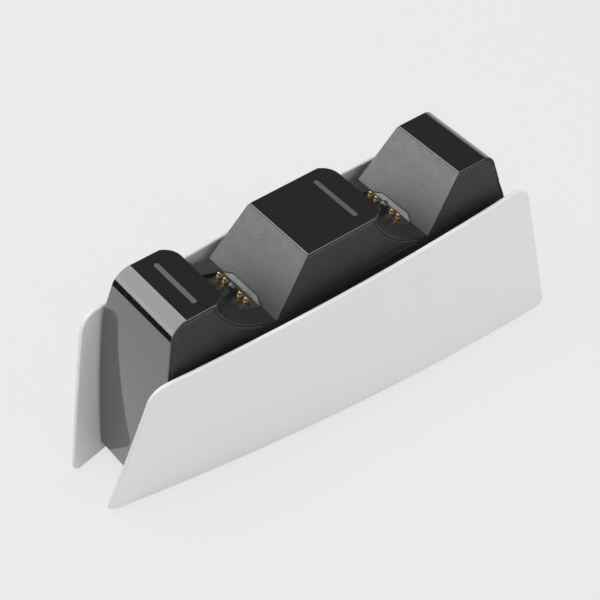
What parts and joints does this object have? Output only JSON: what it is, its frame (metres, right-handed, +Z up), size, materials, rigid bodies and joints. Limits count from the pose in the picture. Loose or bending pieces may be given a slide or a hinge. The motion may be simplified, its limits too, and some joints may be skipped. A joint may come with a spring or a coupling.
{
  "type": "controller charging dock",
  "caption": "Charging dock for game controllers: glossy black core with sloped bays and sprung contact pins, held between bowed white side panels that lean out at one end.",
  "frame": {"origin": "centre of the bounding box, on the surface the feet stand on", "axes": "X along the dock, its slanted glossy end at -X; -Y is the front; Z up"},
  "size_m": [0.2076, 0.0686, 0.0859],
  "materials": {
    "white_panel": "satin white moulded plastic",
    "matte_black": "fine grained black plastic",
    "gloss_black": "polished piano black plastic",
    "gold": "gold plated brass",
    "steel": "bright zinc plated steel",
    "rubber": "matt soft rubber",
    "diffuser": "smoked translucent plastic",
    "circuit_board": "green solder mask",
    "ribbon": "grey ribbon cable",
    "component": "black moulded component"
  },
  "bodies": {
    "dock": {"back_panel": "white_panel", "board_screws": "steel", "bottom_cover": "matte_black", "charge_chip": "component", "contact_block_1": "gloss_black", "contact_block_2": "gloss_black", "contact_board_1": "circuit_board", "contact_board_2": "circuit_board", "contact_lead_1": "ribbon", "contact_lead_2": "ribbon", "contact_screws_1": "steel", "contact_screws_2": "steel", "cover_screws": "steel", "foot_left_back": "rubber", "foot_left_front": "rubber", "foot_right_back": "rubber", "foot_right_front": "rubber", "front_panel": "white_panel", "left_top_cover": "gloss_black", "light_board_1": "circuit_board", "light_board_2": "circuit_board", "light_chip_1": "component", "light_chip_2": "component", "light_guide_1": "diffuser", "light_guide_2": "diffuser", "light_lead_1": "ribbon", "light_lead_2": "ribbon", "light_screws_1": "steel", "light_screws_2": "steel", "main_board": "circuit_board", "main_housing": "matte_black", "mid_top_cover": "gloss_black", "pin_barrel_1_1": "gold", "pin_barrel_1_2": "gold", "pin_barrel_1_3": "gold", "pin_barrel_1_4": "gold", "pin_barrel_2_1": "gold", "pin_barrel_2_2": "gold", "pin_barrel_2_3": "gold", "pin_barrel_2_4": "gold", "pin_spring_1_1": "steel", "pin_spring_1_2": "steel", "pin_spring_1_3": "steel", "pin_spring_1_4": "steel", "pin_spring_2_1": "steel", "pin_spring_2_2": "steel", "pin_spring_2_3": "steel", "pin_spring_2_4": "steel", "power_coil": "component", "power_socket": "steel", "right_top_cover": "gloss_black"},
    "pin_1_1": {"pin_plunger_1_1": "gold"},
    "pin_1_2": {"pin_plunger_1_2": "gold"},
    "pin_1_3": {"pin_plunger_1_3": "gold"},
    "pin_1_4": {"pin_plunger_1_4": "gold"},
    "pin_2_1": {"pin_plunger_2_1": "gold"},
    "pin_2_2": {"pin_plunger_2_2": "gold"},
    "pin_2_3": {"pin_plunger_2_3": "gold"},
    "pin_2_4": {"pin_plunger_2_4": "gold"}
  },
  "joints": [
    {"name": "pin_1_1_press", "type": "slide", "parent": "dock", "child": "pin_1_1", "axis": [0, 0, -1], "range_m": [0, 0.001], "stiffness_N_per_m": 300, "springref_m": -0.001, "deforming": ["pin_spring_1_1"]},
    {"name": "pin_1_2_press", "type": "slide", "parent": "dock", "child": "pin_1_2", "axis": [0, 0, -1], "range_m": [0, 0.001], "stiffness_N_per_m": 300, "springref_m": -0.001, "deforming": ["pin_spring_1_2"]},
    {"name": "pin_1_3_press", "type": "slide", "parent": "dock", "child": "pin_1_3", "axis": [0, 0, -1], "range_m": [0, 0.001], "stiffness_N_per_m": 300, "springref_m": -0.001, "deforming": ["pin_spring_1_3"]},
    {"name": "pin_1_4_press", "type": "slide", "parent": "dock", "child": "pin_1_4", "axis": [0, 0, -1], "range_m": [0, 0.001], "stiffness_N_per_m": 300, "springref_m": -0.001, "deforming": ["pin_spring_1_4"]},
    {"name": "pin_2_1_press", "type": "slide", "parent": "dock", "child": "pin_2_1", "axis": [0, 0, -1], "range_m": [0, 0.001], "stiffness_N_per_m": 300, "springref_m": -0.001, "deforming": ["pin_spring_2_1"]},
    {"name": "pin_2_2_press", "type": "slide", "parent": "dock", "child": "pin_2_2", "axis": [0, 0, -1], "range_m": [0, 0.001], "stiffness_N_per_m": 300, "springref_m": -0.001, "deforming": ["pin_spring_2_2"]},
    {"name": "pin_2_3_press", "type": "slide", "parent": "dock", "child": "pin_2_3", "axis": [0, 0, -1], "range_m": [0, 0.001], "stiffness_N_per_m": 300, "springref_m": -0.001, "deforming": ["pin_spring_2_3"]},
    {"name": "pin_2_4_press", "type": "slide", "parent": "dock", "child": "pin_2_4", "axis": [0, 0, -1], "range_m": [0, 0.001], "stiffness_N_per_m": 300, "springref_m": -0.001, "deforming": ["pin_spring_2_4"]}
  ]
}
